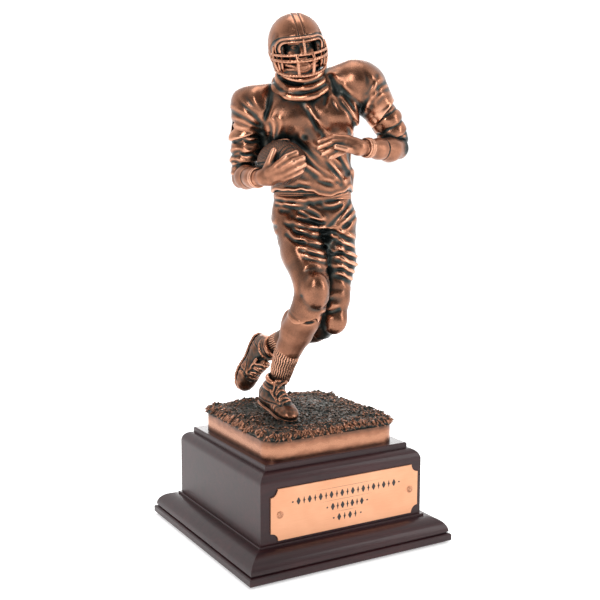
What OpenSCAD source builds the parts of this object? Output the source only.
// Figure trophy: a running ball carrier in antique copper finish, cast in separate pieces,
// on a turf base that two bolts hold to a moulded wooden plinth with a notched name plate.
// Row frame: +Z up, origin at the centre of the underside, name plate on the -Y side.

/* [Plinth] */
// Width and depth of the foot board
foot_w = 132; // [110:1:160]
// Height of the foot board
foot_h = 15.1; // [12:0.1:20]
// Height of the square edge strip at the bottom of the foot board
strip_h = 4.2; // [2:0.1:6]
// Width and depth of the block
block_w = 105.4; // [96:0.2:108]
// Height of the block
block_h = 38.7; // [34:0.1:50]
// Radius of the round-over along the top of the block
block_round = 5.9; // [3:0.1:8]
// Height of the cap board
cap_h = 3.2; // [2:0.1:6]
// Thickness of the felt under the foot board
felt_t = 1; // [0.5:0.1:2]

/* [Name plate] */
// Length of the name plate
plate_w = 97; // [80:1:100]
// Height of the name plate
plate_h = 28.8; // [20:0.2:30]
// Thickness of the name plate
plate_t = 0.9; // [0.5:0.1:1.5]
// Radius of the scooped corners
plate_notch = 4.4; // [2:0.2:6]
// How far the plate sits to the right of the block's middle
plate_shift = 1.6; // [-2:0.2:2]

/* [Figure base] */
// Width and depth of the cast base
tray_w = 84.6; // [80:0.2:90]
// Height of the smooth band round the cast base
tray_h = 10.4; // [8:0.2:14]
// Corner radius of the cast base
tray_r = 9; // [4:0.5:14]
// Depth of the turf over the band
turf_h = 4; // [3:0.5:6]

/* [Figure] */
// Turn of the figure on the plinth, in degrees
figure_turn = -30; // [-45:1:0]
// Lean of the helmet towards the figure's right shoulder, in degrees
head_roll = 9; // [0:1:15]
// Nod of the head, in degrees
head_nod = 12; // [0:1:18]
// Turn of the head towards the figure's left, in degrees
head_yaw = 12; // [0:1:20]
// Length of the ball
ball_len = 38; // [34:1:42]
// Girth diameter of the ball
ball_d = 25; // [22:0.5:28]

/* [Hidden] */

$fn = 48;
COPPER = [0.72, 0.43, 0.3];
DARK_COPPER = [0.36, 0.22, 0.17];
WOOD = [0.16, 0.07, 0.07];
STEEL = [0.7, 0.7, 0.72];

// Heights of the stacked boards
foot_z = felt_t;
block_z = foot_z + foot_h;
cap_z = block_z + block_h;
cap_w = block_w - 2 * block_round;
tray_z = cap_z + cap_h;
turf_z = tray_z + tray_h;
ground_z = turf_z + turf_h;

// Fastenings
bolt_x = 24;
bolt_d = 5;
bolt_head_d = 9;
bolt_head_h = 5;
washer_d = 12;
washer_t = 1;
recess_d = 13;
recess_h = 8;
insert_d = 7;
insert_h = 7;
screw_d = 3.5;
screw_head_d = 7;
screw_len = 26;
screw_at = 38;
dowel_d = 5;
dowel_len = 14;
dowel_at = 34;
pin_at = 42.9;
pin_head_d = 4;
pin_d = 1.6;
pin_len = 8;
foot_pin_d = 3;
foot_pin_len = 22;

// ---- Vector helpers and lofted solids ----

function unit(v) = v / norm(v);

// Point p turned by the angles that rotate() takes
function turned(p, r) =
    let(a = [p[0], p[1] * cos(r[0]) - p[2] * sin(r[0]), p[1] * sin(r[0]) + p[2] * cos(r[0])],
        b = [a[0] * cos(r[1]) + a[2] * sin(r[1]), a[1], a[2] * cos(r[1]) - a[0] * sin(r[1])])
    [b[0] * cos(r[2]) - b[1] * sin(r[2]), b[0] * sin(r[2]) + b[1] * cos(r[2]), b[2]];

// Tangent of a path of points at place i
function tangent(path, i) =
    unit(path[min(i + 1, len(path) - 1)] - path[max(i - 1, 0)]);

// One ring of n points round centre c, square to direction t; side is the half width across
// front, deep is the half depth along front
function ring(c, t, front, side, deep, n) =
    let(u = unit(cross(front, t)), w = unit(cross(t, u)))
    [for (k = [0:n - 1]) c + side * cos(360 * k / n) * u + deep * sin(360 * k / n) * w];

// Rings through stations [centre, side, deep]; from and to set the first and last ring's direction
function loft_rings(stations, front, n, from, to) =
    let(path = [for (s = stations) s[0]], end = len(stations) - 1)
    [for (i = [0:end])
        let(t = i == 0 && from != undef ? from : i == end && to != undef ? to : tangent(path, i))
        ring(path[i], t, front, stations[i][1], stations[i][2], n)];

// Closed solid through stations, with flat ends
module loft(stations, front = [0, -1, 0], n = 16, from = undef, to = undef) {
    skin(loft_rings(stations, front, n, from, to), n);
}

// Triangles between ring i and ring j of n points each
function wall(i, j, n) = [for (k = [0:n - 1])
    let(a = i * n + k, b = i * n + (k + 1) % n, c = j * n + k, d = j * n + (k + 1) % n)
    each [[a, d, b], [a, c, d]]];

// Closed solid through rings of n points each, with flat ends
module skin(rings, n) {
    m = len(rings);
    faces = concat(
        [[for (k = [0:n - 1]) k]],
        [for (i = [0:m - 2]) each wall(i, i + 1, n)],
        [[for (k = [n - 1:-1:0]) (m - 1) * n + k]]);
    polyhedron(points = [for (r = rings) each r], faces = faces, convexity = 6);
}

// Closed hoop through sections of n points each
module hoop(sections, n) {
    m = len(sections);
    polyhedron(points = [for (s = sections) each s],
        faces = [for (i = [0:m - 1]) each wall(i, (i + 1) % m, n)], convexity = 6);
}

// Ellipsoid with half sizes r, as rings from its lowest to its highest point
module ellipsoid(r, n = 24, m = 12) {
    skin([for (i = [0:m]) let(a = -84 + 168 * i / m)
        [for (k = [0:n - 1])
            [r[0] * cos(a) * cos(360 * k / n), r[1] * cos(a) * sin(360 * k / n), r[2] * sin(a)]]], n);
}

// Round-ended limb between two balls
module capsule(a, ra, b, rb) {
    hull() {
        translate(a) sphere(r = ra, $fn = 10);
        translate(b) sphere(r = rb, $fn = 10);
    }
}

// Chain of capsules through points [place, radius]
module chain(points) {
    for (i = [0:len(points) - 2])
        capsule(points[i][0], points[i][1], points[i + 1][0], points[i + 1][1]);
}

// Half space beyond the plane through p with normal n
module beyond(p, n) {
    translate(p) rotate([0, acos(n[2] / norm(n)), atan2(n[1], n[0])])
        translate([-40, -40, 0]) cube([80, 80, 80]);
}

// Puts the figure's own frame, -Y to its front and +X to its left, on the plinth
module figure_frame() {
    rotate([0, 0, figure_turn]) children();
}

// ---- Figure skeleton, in the figure's own frame ----

HEAD = [1, -21, 282.5];
HEAD_TURN = [head_nod, -head_roll, head_yaw];
BALL = [-9, -26.5, 219];
BALL_TURN = [0, -3.4, -60];

// Stations [centre, half width, half depth] shared by two pieces at their seam
HIP_SEAM_R = [[-1.6, 5, 184], 11.3, 14.2];
HIP_SEAM_L = [[21.4, 7.5, 184], 11.3, 13.6];
KNEE_SEAM_R = [[7.4, -18, 138.5], 9.2, 9.2];
KNEE_SEAM_L = [[17.5, 4.5, 125.5], 7.6, 7.8];
SOCK_SEAM_R = [[-5.6, -9, 112], 7.2, 7.4];
ANKLE_SEAM_R = [[-10.2, -6.4, 95.5], 5.4, 6];
ANKLE_SEAM_L = [[-16.8, 29.6, 106.4], 5, 5.6];
CUFF_SEAM_R = [[-28.8, -7.4, 235], 9.4, 9.6];
CUFF_SEAM_L = [[47.3, -6.6, 248.5], 9.3, 9.3];
ELBOW_SEAM_R = [[-31, -4.5, 217], 6.8, 7];
ELBOW_SEAM_L = [[56.5, -4, 232.5], 7.2, 7];
WRIST_SEAM_R = [[-22.4, -31, 210.8], 5, 4.4];
WRIST_SEAM_L = [[39.6, -26.6, 227.4], 5, 4.4];

// Directions of the seams, and the planes where the sleeves part from the jersey
CUFF_DIR_R = unit([-0.25, 0.12, -1]);
CUFF_DIR_L = unit([0.5, 0.14, -0.85]);
ELBOW_DIR_R = unit([-0.1, 0.1, -1]);
ELBOW_DIR_L = unit([0.45, 0, -0.9]);
WRIST_DIR_R = unit([0.3, -0.95, 0.02]);
WRIST_DIR_L = unit([-0.8, -0.6, 0]);
KNEE_DIR_R = unit([0.45, -0.3, 0.85]);
KNEE_DIR_L = unit([0.75, -0.6, 0.5]);
SOCK_DIR_R = unit([0.3, -0.18, 0.94]);
ANKLE_DIR_L = unit([0.76, -0.6, 0.4]);
PART_POINT_R = [-15.5, -9, 250];
PART_DIR_R = unit([-0.8, 0.1, 0.25]);
PART_POINT_L = [25, -9, 256];
PART_DIR_L = unit([0.88, 0.05, 0.2]);
NECK_BASE = [4, -14.6, 261.6];
NECK_DIR = unit([-0.16, -0.36, 0.92]);
UP = [0, 0, 1];

// Foot axes, from heel to toe
TOE_DIR_R = unit([0.54, -0.82, -0.2]);
TOE_DIR_L = unit([-0.36, -0.1, -0.93]);

// A point of the head's own frame in the figure's frame
function on_head(p) = HEAD + turned(p, HEAD_TURN);

module head_frame() {
    translate(HEAD) rotate(HEAD_TURN) children();
}

// ---- Plinth ----

// Square board whose edge profile runs all the way round, mitred at the corners
module moulded_board() {
    intersection() {
        rotate([90, 0, 0]) linear_extrude(foot_w + 10, center = true) children();
        rotate([90, 0, 90]) linear_extrude(foot_w + 10, center = true) children();
    }
}

// Quarter-round points from angle a0 to a1
function arc(c, r, a0, a1, n) = [for (i = [0:n]) let(a = a0 + (a1 - a0) * i / n) c + r * [cos(a), sin(a)]];

// Mirrors a right-hand edge profile into the whole section of a board
module board_section(edge) {
    polygon(concat(edge, [for (i = [len(edge) - 1:-1:0]) [-edge[i][0], edge[i][1]]]));
}

module foot_section() {
    half = foot_w / 2;
    seat = block_w / 2 + 1.6;
    neck = half - 1.2;
    ovolo_z = strip_h + 1.2;
    ovolo_h = foot_h - 1.4 - ovolo_z;
    board_section(concat(
        [[half - 0.5, 0], [half, 0.5], [half, strip_h - 0.5], [half - 0.5, strip_h]],
        [[neck - 0.8, strip_h + 0.4], [neck - 0.8, ovolo_z]],
        [for (i = [0:14]) let(a = 90 * i / 14)
            [seat + (neck - seat) * cos(a), ovolo_z + ovolo_h * sin(a)]],
        [[seat, foot_h - 0.3], [seat - 0.3, foot_h]]));
}

module block_section() {
    half = block_w / 2;
    board_section(concat(
        [[half, 0]],
        arc([half - block_round, block_h - block_round], block_round, 0, 90, 12)));
}

module cap_section() {
    half = cap_w / 2;
    board_section([[half, 0], [half, cap_h - 0.6], [half - 0.6, cap_h]]);
}

module at_bolts() {
    for (side = [-1, 1]) translate([side * bolt_x, 0, 0]) children();
}

module at_corners(d) {
    for (x = [-d, d], y = [-d, d]) translate([x, y, 0]) children();
}

module felt_pad() {
    color([0.05, 0.12, 0.07]) translate([0, 0, felt_t / 2])
        cube([foot_w - 6, foot_w - 6, felt_t], center = true);
}

module plinth_foot() {
    color(WOOD) difference() {
        translate([0, 0, foot_z]) moulded_board() foot_section();
        at_bolts() {
            translate([0, 0, foot_z - 1]) cylinder(d = recess_d, h = recess_h + 1);
            translate([0, 0, foot_z]) cylinder(d = bolt_d + 0.6, h = foot_h + 1);
        }
        at_corners(screw_at) {
            translate([0, 0, foot_z - 1]) cylinder(d = screw_d, h = foot_h + 2);
            translate([0, 0, foot_z]) cylinder(d1 = screw_head_d, d2 = screw_d, h = screw_d / 2);
            translate([0, 0, foot_z - 1]) cylinder(d = screw_head_d, h = 1);
        }
    }
}

module plinth_block() {
    color(WOOD) difference() {
        translate([0, 0, block_z]) moulded_board() block_section();
        at_bolts() translate([0, 0, block_z - 1]) cylinder(d = bolt_d + 0.6, h = block_h + 2);
        at_corners(screw_at) translate([0, 0, block_z - 1]) cylinder(d = screw_d, h = screw_len - foot_h + 1);
        at_corners(dowel_at) translate([0, 0, cap_z + 2 - dowel_len]) cylinder(d = dowel_d, h = dowel_len);
        at_plate_screws() translate([0, 0, -pin_len - 1]) cylinder(d = pin_d, h = pin_len + 2);
    }
}

module plinth_cap() {
    color(WOOD) difference() {
        translate([0, 0, cap_z]) moulded_board() cap_section();
        at_bolts() translate([0, 0, cap_z - 1]) cylinder(d = bolt_d + 0.6, h = cap_h + 2);
        at_corners(dowel_at) translate([0, 0, cap_z - 1]) cylinder(d = dowel_d, h = 3);
    }
}

module board_screws() {
    color(STEEL) at_corners(screw_at) translate([0, 0, foot_z]) {
        cylinder(d1 = screw_head_d, d2 = screw_d, h = screw_d / 2);
        translate([0, 0, screw_d / 2]) cylinder(d = screw_d, h = screw_len - screw_d);
        translate([0, 0, screw_len - screw_d / 2]) cylinder(d1 = screw_d, d2 = 0.8, h = screw_d / 2);
    }
}

module cap_dowels() {
    color([0.75, 0.6, 0.4]) at_corners(dowel_at)
        translate([0, 0, cap_z + 2 - dowel_len]) cylinder(d = dowel_d, h = dowel_len);
}

module fixing_bolts() {
    seat_z = foot_z + recess_h - washer_t;
    color(STEEL) at_bolts() difference() {
        union() {
            translate([0, 0, seat_z - bolt_head_h]) cylinder(d = bolt_head_d, h = bolt_head_h);
            translate([0, 0, seat_z]) cylinder(d = bolt_d, h = tray_z + insert_h - 1 - seat_z);
        }
        translate([0, 0, seat_z - bolt_head_h - 1]) cylinder(d = 4.6, h = 4, $fn = 6);
    }
}

module fixing_washers() {
    color(STEEL) at_bolts() translate([0, 0, foot_z + recess_h - washer_t]) difference() {
        cylinder(d = washer_d, h = washer_t);
        translate([0, 0, -1]) cylinder(d = bolt_d + 0.4, h = washer_t + 2);
    }
}

module threaded_inserts() {
    color([0.8, 0.65, 0.3]) at_bolts() translate([0, 0, tray_z]) difference() {
        cylinder(d = insert_d, h = insert_h);
        translate([0, 0, -1]) cylinder(d = bolt_d, h = insert_h + 2);
    }
}

// Frame of the two plate screws: +Z points out of the block's front
module at_plate_screws() {
    for (side = [-1, 1])
        translate([plate_shift + side * pin_at, -block_w / 2, block_z + block_h / 2 - 3.4])
            rotate([90, 0, 0]) children();
}

module name_plate() {
    color(COPPER) difference() {
        translate([plate_shift, -block_w / 2, block_z + block_h / 2 - 3.4]) rotate([90, 0, 0])
            difference() {
                translate([0, 0, plate_t / 2]) cube([plate_w, plate_h, plate_t], center = true);
                for (x = [-1, 1], y = [-1, 1])
                    translate([x * plate_w / 2, y * plate_h / 2, -1]) cylinder(r = plate_notch, h = plate_t + 2);
            }
        at_plate_screws() translate([0, 0, -1]) cylinder(d = pin_d, h = 4);
    }
}

module plate_screws() {
    dome = 2.6;
    rise = dome - sqrt(dome * dome - pin_head_d * pin_head_d / 4);
    color(COPPER) at_plate_screws() {
        translate([0, 0, -pin_len]) cylinder(d = pin_d, h = pin_len + plate_t);
        intersection() {
            translate([0, 0, plate_t + rise - dome]) sphere(r = dome);
            translate([0, 0, plate_t]) cylinder(d = pin_head_d, h = rise + 1);
        }
    }
}

// ---- Cast base and turf ----

module rounded_square(w, r) {
    square([w - 2 * r, w], center = true);
    square([w, w - 2 * r], center = true);
    for (x = [-1, 1], y = [-1, 1]) translate([x * (w / 2 - r), y * (w / 2 - r)]) circle(r = r);
}

module figure_base() {
    color(COPPER) difference() {
        translate([0, 0, tray_z]) linear_extrude(tray_h) rounded_square(tray_w, tray_r);
        at_bolts() translate([0, 0, tray_z - 1]) cylinder(d = insert_d, h = insert_h + 1);
        foot_pin_at() cylinder(d = foot_pin_d, h = foot_pin_len);
    }
}

// Reach of a rounded square of half width h at angle a, for a corner of radius r
function square_reach(h, r, a) =
    let(x = abs(cos(a)), y = abs(sin(a)), q = h - r, s = q * (x + y))
    min(x, y) * h <= q * max(x, y) ? h / max(x, y) : s + sqrt(s * s - 2 * q * q + r * r);

// Height of the turf over the band at reach share f and angle a
function turf_rise(f, a) =
    2.9 + f * f * (0.7 + 0.35 * sin(5 * a + 40) + 0.3 * sin(11 * a));

// Ring of the turf at reach share f, standing h over the band
function turf_ring(f, h, n) = [for (k = [0:n - 1])
    let(a = 360 * k / n, r = f * (square_reach(tray_w / 2 + 0.8, tray_r, a) + 0.35 * sin(13 * a)))
    [r * cos(a), r * sin(a), turf_z + (h == undef ? turf_rise(f, a) : h)]];

module turf() {
    n = 64;
    color(DARK_COPPER) difference() {
        skin([turf_ring(0.96, 0, n), turf_ring(1, 1.6, n), turf_ring(0.97, undef, n),
            turf_ring(0.85, undef, n), turf_ring(0.6, undef, n), turf_ring(0.3, undef, n)], n);
        foot_pin_at() cylinder(d = foot_pin_d, h = 30);
    }
}

// ---- Steel pin from the cast base up into the standing shoe ----

module foot_pin_at() {
    rotate([0, 0, figure_turn]) translate([-9, -15.4, tray_z + 2]) children();
}

module foot_pin() {
    color(STEEL) foot_pin_at() cylinder(d = foot_pin_d, h = foot_pin_len);
}

// ---- Legs ----

SOLE_R = [-11.6, -11.8, 76.2];
SOLE_L = [-29, 40, 95.5];
SOLE_DIR_R = unit(cross(cross(TOE_DIR_R, UP), TOE_DIR_R));
SOLE_DIR_L = unit([0.45, -0.87, -0.1]);
sole_t = 1.6;

module sole(at, dir, toe_dir, side, deep) {
    loft([[at - sole_t * dir, side - 0.4, deep - 0.6], [at - 0.4 * dir, side, deep], [at, side - 0.2, deep - 0.2]],
        front = toe_dir, n = 24, from = dir, to = dir);
}

module shoe_right() {
    color(COPPER) difference() {
        figure_frame() loft([[SOLE_R, 6.8, 17.4], [SOLE_R + [-0.2, 0.2, 3], 7, 16.8], [[-13.6, -9.4, 84.6], 6.4, 12],
            [[-13.4, -7.6, 89.4], 6, 8.4], [ANKLE_SEAM_R[0], 6.2, 7]],
            front = TOE_DIR_R, n = 24, from = SOLE_DIR_R, to = UP);
        foot_pin_at() cylinder(d = foot_pin_d, h = foot_pin_len);
    }
}

module sole_right() {
    color(DARK_COPPER) difference() {
        figure_frame() sole(SOLE_R, SOLE_DIR_R, TOE_DIR_R, 7, 17.8);
        foot_pin_at() cylinder(d = foot_pin_d, h = foot_pin_len);
    }
}

module sock_right() {
    color(COPPER) figure_frame()
        loft([ANKLE_SEAM_R, [[-8.6, -7, 101], 5.8, 6.4], [[-7.2, -8, 106], 6.5, 7], SOCK_SEAM_R],
            from = UP, to = SOCK_DIR_R);
}

module calf_right() {
    color(COPPER) figure_frame()
        loft([SOCK_SEAM_R, [[-3.2, -10.4, 118.5], 8.6, 8.8], [[-0.4, -12, 125], 9.6, 10],
            [[3.4, -15, 132], 9.6, 9.8], KNEE_SEAM_R], from = SOCK_DIR_R, to = KNEE_DIR_R);
}

module thigh_right() {
    color(COPPER) figure_frame()
        loft([KNEE_SEAM_R, [[8.8, -19.6, 144], 9.6, 10], [[7.6, -17, 151.5], 9.8, 10.6],
            [[4.6, -11, 160.5], 11, 12], [[1.4, -4, 170], 12.2, 13.2], [[-0.8, 1.6, 178], 12, 14], HIP_SEAM_R],
            from = KNEE_DIR_R, to = UP);
}

module shoe_left() {
    color(COPPER) figure_frame()
        loft([[SOLE_L, 6.2, 17.4], [SOLE_L + [1.4, -2.6, -0.3], 6.4, 16.8], [[-24.4, 35.4, 98.8], 5.8, 12.2],
            [[-21.2, 32.8, 102.4], 5.6, 8.6], [ANKLE_SEAM_L[0], 5.4, 6.4]],
            front = TOE_DIR_L, n = 24, from = SOLE_DIR_L, to = ANKLE_DIR_L);
}

module sole_left() {
    color(DARK_COPPER) figure_frame() sole(SOLE_L, SOLE_DIR_L, TOE_DIR_L, 6.6, 17.8);
}

module calf_left() {
    color(COPPER) figure_frame()
        loft([ANKLE_SEAM_L, [[-10, 24.8, 111], 5.8, 6.4], [[-1, 19.5, 117], 7.8, 8.4], [[8, 12, 121.5], 8.6, 8.8],
            KNEE_SEAM_L], front = UP, from = ANKLE_DIR_L, to = KNEE_DIR_L);
}

module thigh_left() {
    color(COPPER) figure_frame()
        loft([KNEE_SEAM_L, [[20.6, 1.4, 129.6], 8.4, 8.6], [[21.8, 1.2, 135.6], 8.8, 9], [[22.4, 2.2, 144], 9.4, 10],
            [[22.8, 4, 155], 10.8, 11.8], [[22.6, 6, 170], 11.8, 13.2], HIP_SEAM_L],
            from = KNEE_DIR_L, to = UP);
}

module pants() {
    color(COPPER) figure_frame()
        loft([[[9.9, 6.6, 184], 22.6, 14.6], [[9.6, 7, 188], 24, 16], [[9.2, 6.8, 193], 24.4, 16.6], [[8.7, 6, 198], 23.2, 16.2]],
            n = 28, from = UP, to = UP);
}

module belt() {
    color(COPPER) figure_frame()
        loft([[[8.7, 6, 198], 24, 17], [[8.6, 5.8, 201], 23.8, 16.8]], n = 28, from = UP, to = UP);
}

// ---- Body and arms ----

JERSEY = [
    [[8.6, 5.6, 201], 23.6, 16.6], [[8.6, 4.6, 204], 24.8, 18], [[8.4, 2.6, 210], 24.4, 17.6],
    [[7.8, -0.4, 220], 23.6, 16.6], [[7, -4, 232], 25.4, 17.6], [[6.6, -7.4, 242], 27.4, 18.6],
    [[6, -10, 250], 27, 18], [[5, -12.6, 257], 20, 14.4], [NECK_BASE, 12.4, 11.4]];

module jersey() {
    color(COPPER) figure_frame() difference() {
        loft(JERSEY, n = 24, from = UP, to = NECK_DIR);
        beyond(PART_POINT_R, PART_DIR_R);
        beyond(PART_POINT_L, PART_DIR_L);
    }
}

// Shoulder pad and sleeve down to the cuff, parted from the jersey at a plane
module sleeve(balls, cuff, cuff_dir, part_point, part_dir) {
    difference() {
        hull() {
            for (b = balls) translate(b[0]) sphere(r = b[1], $fn = 26);
            loft([[cuff[0] - 0.4 * cuff_dir, cuff[1], cuff[2]], cuff], n = 20, from = cuff_dir, to = cuff_dir);
        }
        beyond(part_point, -part_dir);
    }
}

module sleeve_right() {
    color(COPPER) figure_frame()
        sleeve([[[-21.6, -9, 248], 13.2], [[-12, -10, 250], 11.6]], CUFF_SEAM_R, CUFF_DIR_R, PART_POINT_R, PART_DIR_R);
}

module sleeve_left() {
    color(COPPER) figure_frame()
        sleeve([[[36.6, -9, 261.4], 13.6], [[22, -10, 257], 12]], CUFF_SEAM_L, CUFF_DIR_L, PART_POINT_L, PART_DIR_L);
}

// Two rolled folds of cloth round the neck
module collar() {
    n = 10;
    tilt = NECK_DIR;
    u = unit(cross([0, -1, 0], tilt));
    w = unit(cross(tilt, u));
    color(COPPER) figure_frame() for (fold = [[0, 10.8, 1.7], [1, 10, 1.5]])
        hoop([for (k = [0:27])
            let(out = cos(360 * k / 28) * u + sin(360 * k / 28) * w,
                mid = NECK_BASE + (1.74 + fold[0] * 3.24) * tilt + fold[1] * out)
            [for (j = [0:n - 1]) mid + fold[2] * (cos(360 * j / n) * out + sin(360 * j / n) * tilt)]], n);
}

module upper_arm_right() {
    color(COPPER) figure_frame()
        loft([[CUFF_SEAM_R[0], 8.2, 8.6], [[-29.6, -6.6, 229], 7.6, 8.2], [[-30.6, -5.4, 222], 7, 7.6], ELBOW_SEAM_R],
            from = CUFF_DIR_R, to = ELBOW_DIR_R);
}

module upper_arm_left() {
    color(COPPER) figure_frame()
        loft([[CUFF_SEAM_L[0], 8.6, 8.6], [[50.4, -5.8, 243.4], 8.4, 8.4], [[53.6, -4.8, 238], 8, 7.8], ELBOW_SEAM_L],
            from = CUFF_DIR_L, to = ELBOW_DIR_L);
}

// Elbow and forearm from the elbow seam to the wrist seam
module forearm(elbow_seam, elbow_dir, tip, tip_r, wrist_seam, wrist_dir, belly, belly_r) {
    hull() {
        loft([elbow_seam, [elbow_seam[0] + 0.3 * elbow_dir, elbow_seam[1], elbow_seam[2]]], from = elbow_dir, to = elbow_dir);
        translate(tip) sphere(r = tip_r, $fn = 20);
        translate(belly) sphere(r = belly_r, $fn = 20);
        loft([[wrist_seam[0] - 0.3 * wrist_dir, wrist_seam[1], wrist_seam[2]], wrist_seam],
            front = [0, -0.4, 1], from = wrist_dir, to = wrist_dir);
    }
}

module forearm_right() {
    color(COPPER) figure_frame()
        forearm(ELBOW_SEAM_R, ELBOW_DIR_R, [-31, -5.4, 211.6], 6, WRIST_SEAM_R, WRIST_DIR_R, [-28.4, -15, 211.2], 6);
}

module forearm_left() {
    color(COPPER) figure_frame()
        forearm(ELBOW_SEAM_L, ELBOW_DIR_L, [58.8, -4.2, 227.4], 5.6, WRIST_SEAM_L, WRIST_DIR_L, [52.6, -13, 226.6], 6);
}

module wristband(seam, dir) {
    loft([[seam[0], seam[1] + 0.9, seam[2] + 0.9], [seam[0] + 3.4 * dir, seam[1] + 0.7, seam[2] + 0.7]],
        front = [0, -0.4, 1], from = dir, to = dir);
}

module wristband_right() {
    color(COPPER) figure_frame() wristband(WRIST_SEAM_R, WRIST_DIR_R);
}

module wristband_left() {
    color(COPPER) figure_frame() wristband(WRIST_SEAM_L, WRIST_DIR_L);
}

module hand_right() {
    color(COPPER) figure_frame() {
        capsule([-18, -38.6, 211.4], 3.4, [-11.2, -44, 215.6], 2.9);
        capsule([-17.4, -38.4, 209.6], 3.2, [-8.6, -42.6, 211], 2.7);
        capsule([-11.2, -44, 215.6], 2.9, [-8.6, -42.6, 211], 2.7);
        chain([[[-17, -39, 212.4], 2.6], [[-14.8, -42, 219], 2.3], [[-12.4, -41.6, 225], 1.9]]);
        chain([[[-10.8, -44, 217], 2.4], [[-5.4, -45, 221.8], 2.1], [[-0.6, -43.4, 224], 1.8]]);
        chain([[[-8.8, -44, 215.2], 2.4], [[-2.2, -45.2, 219.4], 2.1], [[2.8, -42, 221.4], 1.8]]);
        chain([[[-7.8, -43.4, 213], 2.3], [[-1.2, -44, 216.2], 2], [[3.4, -41, 218], 1.7]]);
        chain([[[-7.4, -42, 211], 2.2], [[-2.2, -41.6, 212.4], 1.9], [[2, -40, 214.6], 1.5]]);
    }
}

module hand_left() {
    color(COPPER) figure_frame() {
        capsule([34.2, -30.4, 227.8], 3.4, [27, -32, 231.4], 3);
        capsule([34, -30.8, 226.6], 3.2, [26.6, -33.4, 228], 2.8);
        capsule([27, -32, 231.4], 3, [26.6, -33.4, 228], 2.8);
        chain([[[27, -31.6, 232.2], 2.3], [[19, -31.8, 232.8], 2], [[12, -31.8, 229.6], 1.6]]);
        chain([[[26.4, -32.6, 230.4], 2.3], [[18, -33.8, 229.8], 2], [[11.4, -33.2, 227], 1.6]]);
        chain([[[26.2, -33.4, 228.8], 2.2], [[19.4, -35.4, 226.8], 1.9], [[13.6, -34.8, 223.8], 1.6]]);
        chain([[[27, -34, 227.4], 2], [[22.4, -35.6, 224.4], 1.8], [[18.4, -35.2, 221.8], 1.5]]);
        chain([[[31, -32.8, 226.4], 2.2], [[25.6, -36.4, 225.4], 1.9], [[21, -37, 224.6], 1.6]]);
    }
}

module football() {
    n = 24;
    color(DARK_COPPER) figure_frame() translate(BALL) rotate(BALL_TURN) rotate([0, 90, 0])
        skin([for (i = [0:12]) let(t = -1 + i / 6, u = t * 0.985, r = ball_d / 2 * pow(1 - u * u, 0.72))
            [for (k = [0:n - 1]) [r * cos(360 * k / n), r * sin(360 * k / n), t * ball_len / 2]]], n);
}

// ---- Head, helmet and face mask, in the head's own frame ----

SHELL = [15.6, 18.2, 17.6];
shell_t = 1.6;
HEAD_HALF = [10.4, 12.8, 13];

// Neck and head in one, from the jersey's top plane to the crown
module head() {
    n = 20;
    neck = [for (s = [[NECK_BASE, 8.4, 8.2], [NECK_BASE + 3 * NECK_DIR, 8, 7.8]])
        ring(s[0], NECK_DIR, [0, -1, 0], s[1], s[2], n)];
    skull = [for (s = [[-13.4, 6.6, 8.8, -2], [-10, 8, 10.6, -1.6], [-6, 9.2, 12, -1.2], [0, HEAD_HALF[0], HEAD_HALF[1], -1],
            [5, 9.8, 12.2, -0.6], [9, 7.8, 10, 0], [11.6, 4.8, 6.4, 0], [12.8, 1.6, 2, 0]])
        [for (k = [0:n - 1]) on_head([-s[1] * cos(360 * k / n), s[3] - s[2] * sin(360 * k / n), s[0]])]];
    color(COPPER) figure_frame() skin(concat(neck, skull), n);
}

// Lowest height of the shell, as an angle, at angle a round the head, where the face is at -90
function rim_angle(a) =
    let(off = abs(((a + 90 + 180) % 360) - 180))
    off < 44 ? 10 : off < 62 ? 10 - 50 * (off - 44) / 18 : -40 - 6 * sin(off);

// Ring of the shell at share f of the way from the crown to the rim, for half sizes r
function shell_ring(r, f, n) = [for (k = [0:n - 1])
    let(a = 360 * k / n, e = 87 - (87 - rim_angle(a)) * f)
    [r[0] * cos(e) * cos(a), r[1] * cos(e) * sin(a), r[2] * sin(e)]];

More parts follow.
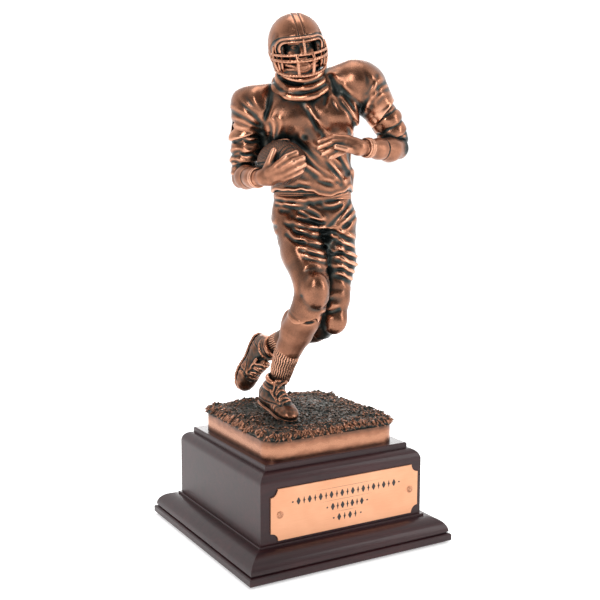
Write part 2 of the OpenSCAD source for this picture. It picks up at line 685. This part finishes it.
module helmet() {
    n = 40;
    inner = SHELL - shell_t * [1, 1, 1];
    shares = [0, 0.14, 0.3, 0.46, 0.62, 0.78, 0.9, 1];
    color(COPPER) figure_frame() head_frame()
        skin(concat([for (f = shares) shell_ring(SHELL, f, n)],
            [for (i = [len(shares) - 1:-1:0]) shell_ring(inner, shares[i], n)]), n);
}

// Path of a mask bar at height z, bowed forward by reach between the two sides
function mask_path(z, reach, half, rise) =
    [for (i = [0:8]) let(a = -90 + 22.5 * i) [half * sin(a), -6 - reach * cos(a), z + rise * (1 - cos(a))]];

module wire(path, r) {
    loft([for (p = path) [p, r, r]], front = [0, 0.05, 1], n = 8);
}

module upright(x, y0, z0, y1, z1, r) {
    translate([x, y0, z0]) rotate([atan2(y0 - y1, z1 - z0), 0, 0]) cylinder(r = r, h = norm([y1 - y0, z1 - z0]));
}

module face_mask() {
    color(COPPER) figure_frame() head_frame() {
        wire(mask_path(-3.4, 14.8, 16.4, 0), 0.8);
        wire(mask_path(-7.6, 15.6, 16.4, 0.6), 1);
        wire(mask_path(-14.6, 13.4, 13.6, 1.4), 0.9);
        for (x = [-4.4, 4.4]) {
            upright(x, -20.8, -6.5, -20.2, -4.3, 0.8);
            upright(x, -18.6, -13.5, -21, -8.7, 0.8);
        }
        upright(0, -20.8, -2.5, -19.6, 3, 0.8);
    }
}

module chin_strap() {
    color(DARK_COPPER) figure_frame() head_frame()
        translate([0, -15.2, -10.6]) ellipsoid([4.4, 2.2, 2.6], 14, 6);
}

felt_pad();
plinth_foot();
plinth_block();
plinth_cap();
board_screws();
cap_dowels();
fixing_bolts();
fixing_washers();
threaded_inserts();
name_plate();
plate_screws();
figure_base();
turf();
foot_pin();
shoe_right();
sole_right();
sock_right();
calf_right();
thigh_right();
shoe_left();
sole_left();
calf_left();
thigh_left();
pants();
belt();
jersey();
collar();
sleeve_right();
sleeve_left();
upper_arm_right();
upper_arm_left();
forearm_right();
forearm_left();
wristband_right();
wristband_left();
hand_right();
hand_left();
football();
head();
helmet();
face_mask();
chin_strap();
